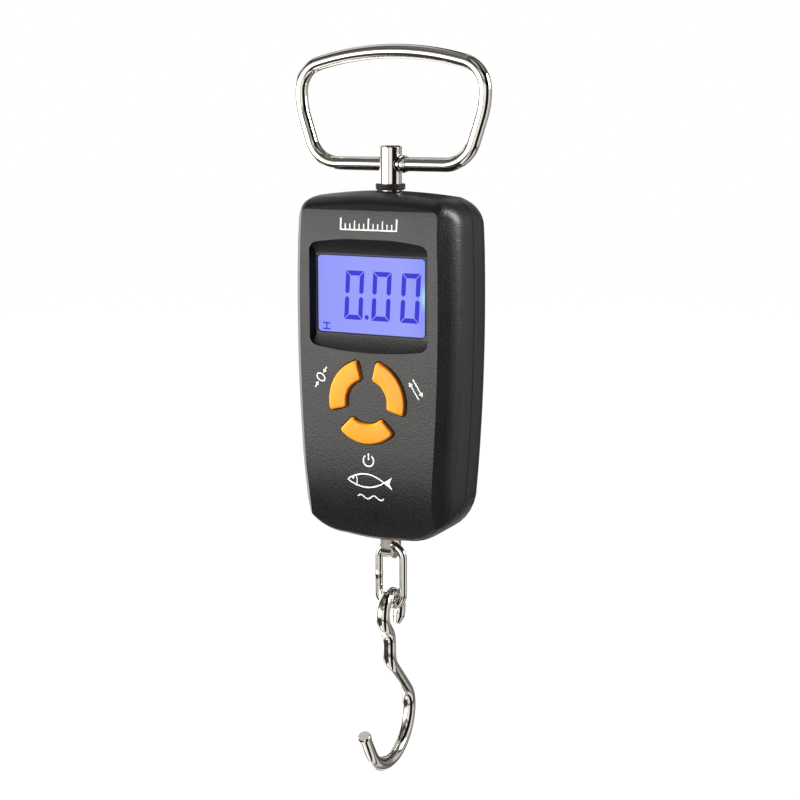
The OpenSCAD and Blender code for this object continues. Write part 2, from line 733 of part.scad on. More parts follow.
// ---- fasteners ----

module screw(head_r, head_h, shank_r, length) {
    difference() {
        union() {
            translate([0, 0, -head_h]) cylinder(h = head_h, r = head_r);
            translate([0, 0, -head_h - length]) cylinder(h = length + 0.1, r = shank_r);
        }
        for (a = [0, 90]) rotate([0, 0, a])
            translate([-head_r * 0.55, -0.22, -0.6]) cube([head_r * 1.1, 0.44, 1]);
    }
}

module case_screws() {
    color("silver") in_case() for (side = [-1, 1], p = case_posts)
        along_y(side * p[0], 5.4 + 1.4, -p[1]) screw(2.1, 1.4, 0.9, 9.5);
}

module board_screws() {
    color("silver") in_case() for (side = [-1, 1], p = board_posts)
        along_y(side * p[0], board_y + board_t + 1, -p[1]) screw(1.7, 1, 0.75, 5);
}

module cell_screws() {
    color("silver") in_case() for (x = [-5.6, 5.6])
        along_y(x, cell_size[1] / 2 + 3.2, -cell_drop - 4) screw(2, 1.25, 1.05, 7);
}

// ---- link and hook ----

module chain_link() {
    color("silver") translate([0, 0, link_top_z - link_r]) rotate([90, 0, 0]) {
        rotate_extrude(angle = 180, $fn = 72) translate([link_r, 0]) circle(d = link_d, $fn = wire_fn);
        translate([0, -link_straight, 0]) rotate([0, 0, 180]) rotate_extrude(angle = 180, $fn = 72)
            translate([link_r, 0]) circle(d = link_d, $fn = wire_fn);
        for (side = [-1, 1]) translate([side * link_r, -link_straight, 0]) rotate([-90, 0, 0])
            cylinder(h = link_straight, d = link_d, $fn = wire_fn);
    }
}

// Hook path in Y and Z: [straight length, bend radius, bend angle], left turns positive, from the tip
tip_a = -61.6;
neck_a = 132.6;
eye_a = 135;
eye_end_a = -120;
reverse_r = 8;
neck_r = 6;
throat_r = 5;
tip_len = 7.5;
eye_z = hook_top_z - eye_r;
// Straight runs that make the shank meet the eye and the bowl on their own lines
throat_len = (shank_y + throat_r * (sin(eye_a) - 1) + eye_r * sin(eye_a)) / -cos(eye_a);
shank_top = eye_z + eye_r * cos(eye_a) - throat_len * sin(eye_a) - throat_r * -cos(eye_a);
shank_len = 4.2;
neck_len = (bowl_y + hook_bowl_r + reverse_r * (sin(neck_a) - 1) - neck_r * (1 - sin(neck_a)) - shank_y)
    / -cos(neck_a);
bowl_z = shank_top - shank_len - neck_r * -cos(neck_a) - neck_len * sin(neck_a) - reverse_r * -cos(neck_a);
hook_path = [[tip_len, hook_bowl_r, 90 - tip_a], [0, reverse_r, neck_a - 90], [neck_len, neck_r, 90 - neck_a],
    [shank_len, throat_r, eye_a - 90], [throat_len, eye_r, eye_end_a - eye_a], [2.4, 0, 0]];

module hook() {
    tip_y = bowl_y + hook_bowl_r * sin(tip_a) - tip_len * cos(tip_a);
    tip_z = bowl_z - hook_bowl_r * cos(tip_a) - tip_len * sin(tip_a);
    color("silver") rotate([90, 0, 90]) wire(hook_path, hook_d, tip_y, tip_z, tip_a, hook_d / 2);
}

handle();
handle_post();
post_collar();
post_nut();
front_cover();
rear_cover();
battery_door();
display_window();
window_gasket();
lcd_glass();
backlight_guide();
backlight_leds();
contact_strip();
main_board();
controller_chip();
board_parts();
tare_key();
unit_key();
power_key();
tare_switch();
unit_switch();
power_switch();
tare_plunger();
unit_plunger();
power_plunger();
load_cell();
strain_gauges();
gauge_leads();
lug_pin();
hook_lug();
battery_left();
battery_right();
contact_springs();
contact_plates();
bridge_plate();
battery_leads();
case_screws();
board_screws();
cell_screws();
chain_link();
hook();
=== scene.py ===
# Digital hanging fish scale: surfaces, fine shapes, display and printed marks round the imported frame.
import math

import bmesh
import bpy
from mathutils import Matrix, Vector


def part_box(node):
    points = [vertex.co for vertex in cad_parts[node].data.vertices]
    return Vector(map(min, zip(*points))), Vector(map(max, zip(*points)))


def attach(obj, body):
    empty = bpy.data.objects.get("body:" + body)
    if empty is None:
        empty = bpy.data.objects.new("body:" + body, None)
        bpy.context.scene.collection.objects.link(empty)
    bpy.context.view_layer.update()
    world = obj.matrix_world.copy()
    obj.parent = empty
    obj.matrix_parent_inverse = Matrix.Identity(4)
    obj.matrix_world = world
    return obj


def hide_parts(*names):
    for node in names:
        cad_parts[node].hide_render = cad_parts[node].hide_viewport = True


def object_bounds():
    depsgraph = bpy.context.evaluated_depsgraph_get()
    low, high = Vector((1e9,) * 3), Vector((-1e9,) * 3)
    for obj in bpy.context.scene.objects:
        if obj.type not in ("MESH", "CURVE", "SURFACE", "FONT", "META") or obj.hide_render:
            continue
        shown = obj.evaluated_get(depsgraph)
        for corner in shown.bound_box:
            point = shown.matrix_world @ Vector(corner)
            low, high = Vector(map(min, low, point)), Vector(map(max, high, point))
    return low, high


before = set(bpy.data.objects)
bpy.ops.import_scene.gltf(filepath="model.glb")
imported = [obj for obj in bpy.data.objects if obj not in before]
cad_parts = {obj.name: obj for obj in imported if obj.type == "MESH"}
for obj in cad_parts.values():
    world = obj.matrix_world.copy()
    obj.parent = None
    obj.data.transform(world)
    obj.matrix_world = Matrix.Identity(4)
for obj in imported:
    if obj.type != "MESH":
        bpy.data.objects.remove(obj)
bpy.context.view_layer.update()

mm = 0.001
print("frame loaded with", len(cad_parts), "nodes")


# Small helpers

def linear(code):  # sRGB hex to the linear colour that sockets take
    parts = [int(code[i:i + 2], 16) / 255 for i in (1, 3, 5)]
    return (*[c / 12.92 if c <= 0.04045 else ((c + 0.055) / 1.055) ** 2.4 for c in parts], 1)


def addNode(tree, kind, settings=None, links=None):  # a node, its settings and what feeds it
    node = tree.nodes.new(kind)
    for key, value in (settings or {}).items():
        if key == "stops":
            ramp = node.color_ramp
            while len(ramp.elements) < len(value):
                ramp.elements.new(0.5)
            for element, (place, colour) in zip(ramp.elements, value):
                element.position = place
                element.color = linear(colour) if isinstance(colour, str) else (colour, colour, colour, 1)
        elif isinstance(key, int) or key in node.inputs:
            node.inputs[key].default_value = value
        else:
            setattr(node, key, value)
    for key, source in (links or {}).items():
        tree.links.new(source, node.inputs[key])
    return node


def grainScale(sizeMm):  # texture scale for a feature of this size, in object coordinates of metres
    return 1 / (sizeMm * mm)


noiseSpan = (0.3, 0.7)  # where most of a noise texture's values lie


def surface(name, look):
    # look: colours [(place, hex)], roughness (low, high), patch mm for their drift, grain mm, lift mm,
    # stretch of the grain along X, Y and Z, edge mm for worn round edges, and shader socket values
    material = bpy.data.materials.new(name)
    material.use_nodes = True
    tree = material.node_tree
    tree.nodes.clear()
    place = addNode(tree, "ShaderNodeTexCoord").outputs["Object"]
    patch = addNode(tree, "ShaderNodeTexNoise", {"Scale": grainScale(look["patch"]), "Detail": 3.0},
                    {"Vector": place})
    tint = addNode(tree, "ShaderNodeValToRGB", {"stops": look["colours"]}, {"Fac": patch.outputs["Fac"]})
    low, high = look["roughness"]
    gloss = addNode(tree, "ShaderNodeMapRange", {"From Min": noiseSpan[0], "From Max": noiseSpan[1],
                    "To Min": low, "To Max": high}, {"Value": patch.outputs["Fac"]})
    stretched = addNode(tree, "ShaderNodeMapping", {"Scale": look.get("stretch", (1, 1, 1))},
                        {"Vector": place})
    grain = addNode(tree, "ShaderNodeTexNoise", {"Scale": grainScale(look["grain"]), "Detail": 2.0},
                    {"Vector": stretched.outputs["Vector"]})
    links = {"Height": grain.outputs["Fac"]}
    if "edge" in look:
        links["Normal"] = addNode(tree, "ShaderNodeBevel", {"samples": 4, "Radius": look["edge"] * mm}
                                  ).outputs["Normal"]
    bump = addNode(tree, "ShaderNodeBump", {"Strength": 1.0, "Distance": look["lift"] * mm}, links)
    shader = addNode(tree, "ShaderNodeBsdfPrincipled", look.get("shader"),
                     {"Base Color": tint.outputs["Color"], "Roughness": gloss.outputs["Result"],
                      "Normal": bump.outputs["Normal"]})
    addNode(tree, "ShaderNodeOutputMaterial", None, {"Surface": shader.outputs["BSDF"]})
    return material


# Surfaces

# Black ABS from a spark-eroded mould: deep charcoal with a satin sheen. The real grain is near 0.08 mm;
# it is drawn at 0.45 mm, because anything finer is lost.
blackAbs = surface("blackAbsSparkErodedMould", {
    "colours": [(0.3, "#0e0e0f"), (0.7, "#111112")], "roughness": (0.33, 0.37), "patch": 9,
    "grain": 0.45, "lift": 0.07, "edge": 0.22, "shader": {"IOR": 1.53}})
# Orange ABS from a polished mould, a light satin that stays warm in its shaded sides
orangeAbs = surface("orangeAbsPolishedMould", {
    "colours": [(0.3, "#ee9416"), (0.7, "#f2981b")], "roughness": (0.30, 0.38), "patch": 5,
    "grain": 0.35, "lift": 0.006, "edge": 0.12,
    "shader": {"IOR": 1.53, "Subsurface Weight": 0.15, "Subsurface Radius": (1.0, 0.35, 0.08),
               "Subsurface Scale": 0.0005}})
# Drawn steel wire, buffed and chrome plated: near-mirror with slow waves along the wire
chromedWire = surface("chromePlatedBuffedWire", {
    "colours": [(0.3, "#e6e2db"), (0.7, "#edeae5")], "roughness": (0.03, 0.08), "patch": 4,
    "grain": 2.2, "lift": 0.02, "shader": {"Metallic": 1.0}})
# Turned and chromed post: fine rings left by the tool
chromedPost = surface("chromePlatedTurnedPost", {
    "colours": [(0.3, "#e6e2db"), (0.7, "#ece9e4")], "roughness": (0.04, 0.08), "patch": 3,
    "grain": 0.8, "lift": 0.004, "stretch": (0.2, 0.2, 3), "edge": 0.15, "shader": {"Metallic": 1.0}})
# Stamped strap in barrel-polished nickel: softer reflections and rounded edges
nickelStrap = surface("nickelPlatedStampedStrap", {
    "colours": [(0.3, "#cbc5bb"), (0.7, "#d8d3ca")], "roughness": (0.10, 0.20), "patch": 2.5,
    "grain": 0.7, "lift": 0.008, "edge": 0.25, "shader": {"Metallic": 1.0}})
# Moulded black rubber: matt and slightly dusty
blackRubber = surface("blackRubberMoulded", {
    "colours": [(0.3, "#121212"), (0.7, "#1a1a1a")], "roughness": (0.62, 0.75), "patch": 2,
    "grain": 0.3, "lift": 0.01, "edge": 0.1, "shader": {"IOR": 1.52}})
# White pad-printing ink: chalky, with slightly thin spots
whiteInk = surface("whitePadPrintedInk", {
    "colours": [(0.25, "#dcdcd8"), (0.6, "#f6f6f3")], "roughness": (0.45, 0.6), "patch": 1.2,
    "grain": 0.3, "lift": 0.006, "shader": {"IOR": 1.5}})
# Ground steel of pins and zinc-plated screws: soft grey metal with fine lines
groundSteel = surface("zincPlatedGroundSteel", {
    "colours": [(0.3, "#8f8f8d"), (0.7, "#a9a9a6")], "roughness": (0.22, 0.36), "patch": 1.5,
    "grain": 0.4, "lift": 0.006, "edge": 0.1, "shader": {"Metallic": 1.0}})
# Turned brass nut
turnedBrass = surface("brassTurned", {
    "colours": [(0.3, "#c9a04a"), (0.7, "#d8b25c")], "roughness": (0.2, 0.32), "patch": 2,
    "grain": 0.4, "lift": 0.006, "edge": 0.1, "shader": {"Metallic": 1.0}})
# Milled aluminium of the load cell: long tool marks across its faces
milledAluminium = surface("aluminiumMilled", {
    "colours": [(0.3, "#b9babc"), (0.7, "#c8c9cb")], "roughness": (0.25, 0.4), "patch": 3,
    "grain": 0.5, "lift": 0.01, "stretch": (1, 1, 0.1), "edge": 0.12, "shader": {"Metallic": 1.0}})
# Nickel-plated spring strip of the battery contacts
nickelContacts = surface("nickelPlatedSpringStrip", {
    "colours": [(0.3, "#bdb8ae"), (0.7, "#cdc8bf")], "roughness": (0.16, 0.28), "patch": 1.5,
    "grain": 0.4, "lift": 0.004, "edge": 0.08, "shader": {"Metallic": 1.0}})
# Glass-epoxy board under green solder mask: glossy, with a faint weave
solderMask = surface("glassEpoxySolderMasked", {
    "colours": [(0.35, "#0d4a26"), (0.65, "#13602f")], "roughness": (0.22, 0.34), "patch": 1.6,
    "grain": 0.6, "lift": 0.01, "shader": {"IOR": 1.55}})
# Epoxy blob over the chip, poured and cured
pouredEpoxy = surface("blackEpoxyPoured", {
    "colours": [(0.3, "#0c0c0d"), (0.7, "#151516")], "roughness": (0.12, 0.25), "patch": 3,
    "grain": 1.5, "lift": 0.02, "shader": {"IOR": 1.55}})
# Fired ceramic chips and the moulded connector on the board
firedCeramic = surface("ceramicFiredParts", {
    "colours": [(0.3, "#8a6a45"), (0.7, "#a58256")], "roughness": (0.45, 0.6), "patch": 0.8,
    "grain": 0.3, "lift": 0.006, "edge": 0.06, "shader": {"IOR": 1.6}})
# Moulded switch cases and plungers
switchNylon = surface("nylonMouldedSwitch", {
    "colours": [(0.3, "#1d1d1e"), (0.7, "#272728")], "roughness": (0.4, 0.5), "patch": 1.5,
    "grain": 0.3, "lift": 0.006, "edge": 0.08, "shader": {"IOR": 1.53}})
# Polyimide film of the strain gauges: amber with the foil grid showing as fine lines
gaugeFilm = surface("polyimideFilmEtchedGrid", {
    "colours": [(0.3, "#a4641c"), (0.7, "#c98a35")], "roughness": (0.25, 0.35), "patch": 0.4,
    "grain": 0.3, "lift": 0.004, "stretch": (4, 1, 0.3), "shader": {"IOR": 1.6}})
# Extruded PVC over the leads
leadPvc = surface("pvcExtrudedInsulation", {
    "colours": [(0.3, "#8e1512"), (0.7, "#a51d18")], "roughness": (0.35, 0.45), "patch": 2,
    "grain": 0.4, "lift": 0.006, "shader": {"IOR": 1.53}})
# White acrylic of the light guide behind the display; its lamps share it, because both are hidden
whiteDiffuser = surface("acrylicMouldedDiffuser", {
    "colours": [(0.3, "#e4e8f2"), (0.7, "#f2f5fb")], "roughness": (0.4, 0.5), "patch": 4,
    "grain": 0.5, "lift": 0.006, "shader": {"IOR": 1.49}})
print("plain surfaces made")


sleeveLook = {"band": [(0.0, 0.0), (0.73, 0.0), (0.735, 1.0), (0.96, 1.0), (0.965, 0.0)],
              "bandColour": "#c9ccd2"}


def batterySleeve(name):  # shrunk printed sleeve: blue body, pale band near one end
    material = surface(name, {
        "colours": [(0.3, "#17357e"), (0.7, "#1d3f91")], "roughness": (0.18, 0.28), "patch": 6,
        "grain": 1.2, "lift": 0.01, "edge": 0.3, "shader": {"IOR": 1.5}})
    tree = material.node_tree
    shader = tree.nodes["Principled BSDF"]
    body = shader.inputs["Base Color"].links[0].from_socket
    place = addNode(tree, "ShaderNodeTexCoord").outputs["Object"]
    height = addNode(tree, "ShaderNodeSeparateXYZ", None, {"Vector": place}).outputs["Z"]
    low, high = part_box("battery_left")[0].z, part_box("battery_left")[1].z
    along = addNode(tree, "ShaderNodeMapRange", {"From Min": low, "From Max": high}, {"Value": height})
    band = addNode(tree, "ShaderNodeValToRGB", {"stops": sleeveLook["band"]},
                   {"Fac": along.outputs["Result"]})
    mixed = addNode(tree, "ShaderNodeMix", {"data_type": "RGBA", 7: linear(sleeveLook["bandColour"])},
                    {0: band.outputs["Color"], 6: body})
    tree.links.new(mixed.outputs[2], shader.inputs["Base Color"])
    return material


batteryWrap = batterySleeve("printedSleeveShrunkOnCell")

displayLook = {
    "blue": [(0.0, "#9299fc"), (0.35, "#989fff"), (0.8, "#9ca2ff"), (1.0, "#8d97fb")],
    "glow": "#a9f4ff", "glowReach": 5.0, "glowNarrow": 1.9, "glowRise": 0.2, "glowShare": 0.9,
    "unlit": "#0c0d24", "strength": 0.93, "sheen": 0.08, "speckle": 2.5, "roughness": (0.03, 0.08)}


def litDisplay():
    # Clear acrylic pane lit from behind: even periwinkle blue, a cold bright patch by the lamps at its
    # right edge, and a sharp polished face
    material = bpy.data.materials.new("acrylicPaneBacklitBlue")
    material.use_nodes = True
    tree = material.node_tree
    tree.nodes.clear()
    low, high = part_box("display_window")
    place = addNode(tree, "ShaderNodeTexCoord").outputs["Object"]
    across = addNode(tree, "ShaderNodeSeparateXYZ", None, {"Vector": place}).outputs["X"]
    share = addNode(tree, "ShaderNodeMapRange", {"From Min": low.x, "From Max": high.x}, {"Value": across})
    blue = addNode(tree, "ShaderNodeValToRGB", {"stops": displayLook["blue"]},
                   {"Fac": share.outputs["Result"]})
    narrow = displayLook["glowNarrow"]
    squeezed = addNode(tree, "ShaderNodeMapping", {"Scale": (narrow, 0, 1)}, {"Vector": place})
    lampSpot = (high.x * narrow, 0, (low.z + high.z) / 2 + displayLook["glowRise"] * mm)
    offset = addNode(tree, "ShaderNodeVectorMath", {"operation": "DISTANCE", 1: lampSpot},
                     {0: squeezed.outputs["Vector"]})
    glow = addNode(tree, "ShaderNodeMapRange", {"From Min": 0.0, "From Max": displayLook["glowReach"] * mm,
                   "To Min": displayLook["glowShare"], "To Max": 0.0, "interpolation_type": "SMOOTHSTEP"},
                   {"Value": offset.outputs["Value"]})
    lit = addNode(tree, "ShaderNodeMix", {"data_type": "RGBA", 7: linear(displayLook["glow"])},
                  {0: glow.outputs["Result"], 6: blue.outputs["Color"]})
    speckle = addNode(tree, "ShaderNodeTexNoise", {"Scale": grainScale(displayLook["speckle"])},
                      {"Vector": place})
    smooth, dull = displayLook["roughness"]
    gloss = addNode(tree, "ShaderNodeMapRange", {"To Min": smooth, "To Max": dull},
                    {"Value": speckle.outputs["Fac"]})
    shader = addNode(tree, "ShaderNodeBsdfPrincipled",
                     {"Base Color": linear(displayLook["unlit"]), "Specular IOR Level": displayLook["sheen"],
                      "Emission Strength": displayLook["strength"]},
                     {"Emission Color": lit.outputs[2], "Roughness": gloss.outputs["Result"]})
    addNode(tree, "ShaderNodeOutputMaterial", None, {"Surface": shader.outputs["BSDF"]})
    return material


displayGlass = litDisplay()
# Driven liquid-crystal segments: a dense dark blue, with a little backlight still coming through
segmentInk = surface("liquidCrystalSegmentDriven", {
    "colours": [(0.3, "#0c0c40"), (0.7, "#101048")], "roughness": (0.1, 0.16), "patch": 3,
    "grain": 0.5, "lift": 0.002, "shader": {"Specular IOR Level": displayLook["sheen"],
                                            "Emission Color": linear("#2626cf"), "Emission Strength": 0.9}})
print("display surfaces made")

# Frame nodes: a surface for each, and smooth normals

nodeSurfaces = {
    "handle_post": chromedPost, "post_collar": blackRubber, "post_nut": turnedBrass,
    "front_cover": blackAbs, "rear_cover": blackAbs, "battery_door": blackAbs,
    "display_window": displayGlass, "window_gasket": blackRubber, "lcd_glass": displayGlass,
    "backlight_guide": whiteDiffuser, "backlight_leds": whiteDiffuser, "contact_strip": blackRubber,
    "main_board": solderMask, "controller_chip": pouredEpoxy, "board_parts": firedCeramic,
    "tare_switch": switchNylon, "unit_switch": switchNylon, "power_switch": switchNylon,
    "tare_plunger": switchNylon, "unit_plunger": switchNylon, "power_plunger": switchNylon,
    "load_cell": milledAluminium, "strain_gauges": gaugeFilm, "gauge_leads": leadPvc,
    "lug_pin": groundSteel, "hook_lug": nickelStrap, "battery_left": batteryWrap,
    "battery_right": batteryWrap, "contact_springs": nickelContacts, "contact_plates": nickelContacts,
    "bridge_plate": nickelContacts, "battery_leads": leadPvc, "case_screws": groundSteel,
    "board_screws": groundSteel, "cell_screws": groundSteel,
    "tare_key": orangeAbs, "unit_key": orangeAbs, "power_key": orangeAbs,
    "handle": chromedWire, "chain_link": chromedWire, "hook": chromedWire}


smoothLook = {"weld": 0.002, "sharpAbove": 28}


def smoothNormals():  # node group: welds facets and keeps only the sharper edges
    tree = bpy.data.node_groups.new("smoothBelowAngle", "GeometryNodeTree")
    tree.interface.new_socket("Geometry", in_out="INPUT", socket_type="NodeSocketGeometry")
    tree.interface.new_socket("Geometry", in_out="OUTPUT", socket_type="NodeSocketGeometry")
    start = addNode(tree, "NodeGroupInput").outputs["Geometry"]
    plain = addNode(tree, "GeometryNodeRemoveAttribute", {"Name": "custom_normal"}, {"Geometry": start})
    weld = addNode(tree, "GeometryNodeMergeByDistance", {"Distance": smoothLook["weld"] * mm},
                   {"Geometry": plain.outputs["Geometry"]})
    soft = addNode(tree, "GeometryNodeSetShadeSmooth", {"domain": "FACE"},
                   {"Geometry": weld.outputs["Geometry"]})
    bend = addNode(tree, "GeometryNodeInputMeshEdgeAngle").outputs["Unsigned Angle"]
    limit = math.radians(smoothLook["sharpAbove"])
    sharp = addNode(tree, "FunctionNodeCompare", {"operation": "GREATER_THAN", 1: limit}, {0: bend})
    kept = addNode(tree, "GeometryNodeSetShadeSmooth", {"domain": "EDGE", "Shade Smooth": False},
                   {"Geometry": soft.outputs["Geometry"], "Selection": sharp.outputs["Result"]})
    addNode(tree, "NodeGroupOutput", None, {"Geometry": kept.outputs["Geometry"]})
    return tree


roundGroup = smoothNormals()
for name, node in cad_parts.items():
    node.data.materials.clear()
    node.data.materials.append(nodeSurfaces[name])
    node.modifiers.new("smoothNormals", "NODES").node_group = roundGroup
print("frame nodes dressed")


# Mesh pieces

def addPiece(name, points, faces, material, body, replaced=(), sharp=35):
    mesh = bpy.data.meshes.new(name)
    work = bmesh.new()
    corners = [work.verts.new(Vector(p) * mm) for p in points]
    for face in faces:
        work.faces.new([corners[i] for i in face])
    bmesh.ops.recalc_face_normals(work, faces=work.faces)
    work.to_mesh(mesh)
    work.free()
    mesh.materials.append(material)
    for polygon in mesh.polygons:
        polygon.use_smooth = True
    mesh.set_sharp_from_angle(angle=math.radians(sharp))
    piece = bpy.data.objects.new(name, mesh)
    bpy.context.collection.objects.link(piece)
    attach(piece, body)
    if replaced:
        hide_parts(*replaced)
    return piece


def wireWalk(path, x, y, heading, step):
    # rows of straight length, bend radius and bend angle; gives [x, y, heading] every step mm or so
    spine = [(x, y, heading)]
    for length, radius, turn in path:
        pieces = max(1, math.ceil(length / step)) if length > 0 else 0
        for k in range(1, pieces + 1):
            run = length * k / pieces
            spine.append((x + run * math.cos(heading), y + run * math.sin(heading), heading))
        x, y = x + length * math.cos(heading), y + length * math.sin(heading)
        if turn:
            angle, side = math.radians(turn), math.copysign(1, turn)
            middle = (x - side * radius * math.sin(heading), y + side * radius * math.cos(heading))
            pieces = max(4, math.ceil(abs(angle) * radius / step))
            for k in range(1, pieces + 1):
                g = heading + angle * k / pieces
                spine.append((middle[0] + side * radius * math.sin(g),
                              middle[1] - side * radius * math.cos(g), g))
            x, y, heading = spine[-1]
    return spine


def wireMesh(spine, radiusAt, sides, place, closed=False):
    # place turns the walk's plane and the height over it into the row frame
    points = []
    for k, (x, y, heading) in enumerate(spine):
        q = radiusAt(k)
        for j in range(sides):
            t = 2 * math.pi * j / sides
            points.append(place(x - q * math.cos(t) * math.sin(heading),
                                y + q * math.cos(t) * math.cos(heading), q * math.sin(t)))
    rings = len(spine)
    faces = []
    for k in range(rings if closed else rings - 1):
        for j in range(sides):
            a, b = k * sides + j, k * sides + (j + 1) % sides
            c, d = (a + sides) % len(points), (b + sides) % len(points)
            faces.append((a, b, d, c))
    if not closed:
        faces.append(tuple(range(sides)))
        faces.append(tuple((rings - 1) * sides + j for j in reversed(range(sides))))
    return points, faces


def spineLengths(spine):
    total, lengths = 0, [0]
    for a, b in zip(spine, spine[1:]):
        total += math.dist(a[:2], b[:2])
        lengths.append(total)
    return lengths


def pressDimple(points, centre, inward, width, depth):  # sinks the points near a centre, for a punch mark
    for i, p in enumerate(points):
        gap = math.dist(p, centre)
        if gap < width:
            fall = depth * (1 - (gap / width) ** 2) ** 2
            points[i] = tuple(a + fall * b for a, b in zip(p, inward))


# Handle: one bent 4 mm wire; its two butts meet inside the post, and a staked swelling beside the post
# holds it. Bends are (radius, degrees); "thinned" comes off the radius, so that a round wire stays inside
# the flat-sided one of the frame
handleLook = {"diameter": 4, "thinned": 0.04, "rise": 31, "flat": 17, "bends": [(9, 72), (22, 18), (8, 75)],
              "leg": 6.9, "butt": 0.25, "sides": 40, "step": 0.7, "stakeX": 4.2, "stakeSwell": 0.6,
              "stakeWidth": 0.75, "stakeBelow": 1}


def makeHandle():
    h = handleLook
    pivotZ = -(h["rise"] - h["diameter"] / 2)
    low = math.radians(h["bends"][0][1])
    mid = low + math.radians(h["bends"][1][1])
    top = mid + math.radians(h["bends"][2][1])
    r0, r1, r2 = (b[0] for b in h["bends"])
    loopX = h["flat"] + r0 * math.sin(low) + h["leg"] * math.cos(low) \
        + r1 * (math.sin(mid) - math.sin(low)) + r2 * (math.sin(top) - math.sin(mid))
    loopZ = r0 * (1 - math.cos(low)) + h["leg"] * math.sin(low) \
        + r1 * (math.cos(low) - math.cos(mid)) + r2 * (math.cos(mid) - math.cos(top))
    archRadius = loopX / math.sin(math.pi - top)
    stretch = h["rise"] - loopZ - archRadius * (1 - math.cos(math.pi - top))
    lowTurn, midTurn, topTurn = (b[1] for b in h["bends"])
    path = [(h["flat"] - h["butt"], r0, lowTurn), (h["leg"], r1, midTurn), (stretch, r2, topTurn),
            (0, archRadius, 2 * (180 - math.degrees(top))), (0, r2, topTurn), (stretch, r1, midTurn),
            (h["leg"], r0, lowTurn), (h["flat"] - h["butt"], 0, 0)]
    spine = wireWalk(path, h["butt"], 0, 0, h["step"])

    def radiusAt(k):
        x, y, heading = spine[k]
        swell = h["stakeSwell"] * math.exp(-((x - h["stakeX"]) / h["stakeWidth"]) ** 2)
        return h["diameter"] / 2 - h["thinned"] + (swell if y < h["stakeBelow"] else 0)

    points, faces = wireMesh(spine, radiusAt, h["sides"], lambda u, v, w: (u, -w, v + pivotZ))
    addPiece("handle_wire", points, faces, chromedWire, "handle", ["handle"])


makeHandle()

# Hook: 4 mm wire with a closed eye drawn to a cut end, an S-shaped neck and a wide J with a cut tip
hookLook = {"diameter": 4, "bowl": 13.8, "tipTurn": -61.6, "neckTurn": 132.6, "eyeTurn": 135, "eyeEnd": -120,
            "eye": 5.4, "reverse": 8, "neck": 6, "throat": 5, "tip": 7.5, "shank": 4.2, "shankY": -1,
            "bowlY": -1.6, "cut": 2.4, "cutShare": 0.5, "sides": 44, "step": 0.45, "chamfer": 0.3,
            "easing": 14, "dimpleWidth": 0.85, "dimpleDepth": 0.3, "dimpleFacing": 30, "tipDimple": 4.2,
            "eyeDimpleDrop": 6.2, "eyeDimpleFrom": 60}


def makeHook():
    k = hookLook
    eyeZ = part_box("hook")[1].z / mm - k["diameter"] / 2 - k["eye"]
    na, ea, ta = (math.radians(k[n]) for n in ("neckTurn", "eyeTurn", "tipTurn"))
    throatRun = (k["shankY"] + k["throat"] * (math.sin(ea) - 1) + k["eye"] * math.sin(ea)) / -math.cos(ea)
    shankTop = eyeZ + k["eye"] * math.cos(ea) - throatRun * math.sin(ea) + k["throat"] * math.cos(ea)
    neckRun = (k["bowlY"] + k["bowl"] + k["reverse"] * (math.sin(na) - 1)
               - k["neck"] * (1 - math.sin(na)) - k["shankY"]) / -math.cos(na)
    bowlZ = shankTop - k["shank"] + k["neck"] * math.cos(na) - neckRun * math.sin(na) \
        + k["reverse"] * math.cos(na)
    tipY = k["bowlY"] + k["bowl"] * math.sin(ta) - k["tip"] * math.cos(ta)
    tipZ = bowlZ - k["bowl"] * math.cos(ta) - k["tip"] * math.sin(ta)
    path = [(k["tip"], k["bowl"], 90 - k["tipTurn"]), (0, k["reverse"], k["neckTurn"] - 90),
            (neckRun, k["neck"], 90 - k["neckTurn"]), (k["shank"], k["throat"], k["eyeTurn"] - 90),
            (throatRun, k["eye"], k["eyeEnd"] - k["eyeTurn"]), (k["cut"], 0, 0)]
    spine = wireWalk(path, tipY, tipZ, ta, k["step"])
    for _ in range(k["easing"]):  # bends run into each other without a kink
        spine = [spine[0]] + [tuple((a + 2 * b + c) / 4 for a, b, c in zip(*spine[i - 1:i + 2]))
                              for i in range(1, len(spine) - 1)] + [spine[-1]]
    lengths = spineLengths(spine)
    whole = lengths[-1]
    radius = k["diameter"] / 2

    def radiusAt(i):
        toTip, toEnd = lengths[i], whole - lengths[i]
        if toTip < k["chamfer"]:
            return radius - k["chamfer"] + toTip
        if toEnd < k["cut"]:
            return radius * (k["cutShare"] + (1 - k["cutShare"]) * toEnd / k["cut"])
        return radius

    points, faces = wireMesh(spine, radiusAt, k["sides"], lambda u, v, w: (w, u, v))
    facing = math.radians(k["dimpleFacing"])
    outward = Vector((-math.sin(facing), -math.cos(facing), 0))
    dimpleZ = eyeZ - k["eyeDimpleDrop"]
    marks = [next(s for s, d in zip(spine, lengths) if d > k["tipDimple"]),
             min((s for s, d in zip(spine, lengths) if d > k["eyeDimpleFrom"]),
                 key=lambda s: abs(s[1] - dimpleZ))]
    for y, z, heading in marks:
        centre = Vector((0, y, z)) + outward * radius
        pressDimple(points, centre, -outward, k["dimpleWidth"], k["dimpleDepth"])
    addPiece("hook_wire", points, faces, chromedWire, "hook", ["hook"])


makeHook()

# Link: 2.4 mm wire closed by a butt weld on one straight side
linkLook = {"diameter": 2.4, "radius": 4, "straight": 10.6, "sides": 36, "step": 0.35, "weldSwell": 0.12,
            "weldWidth": 0.7, "weldBelow": 1}


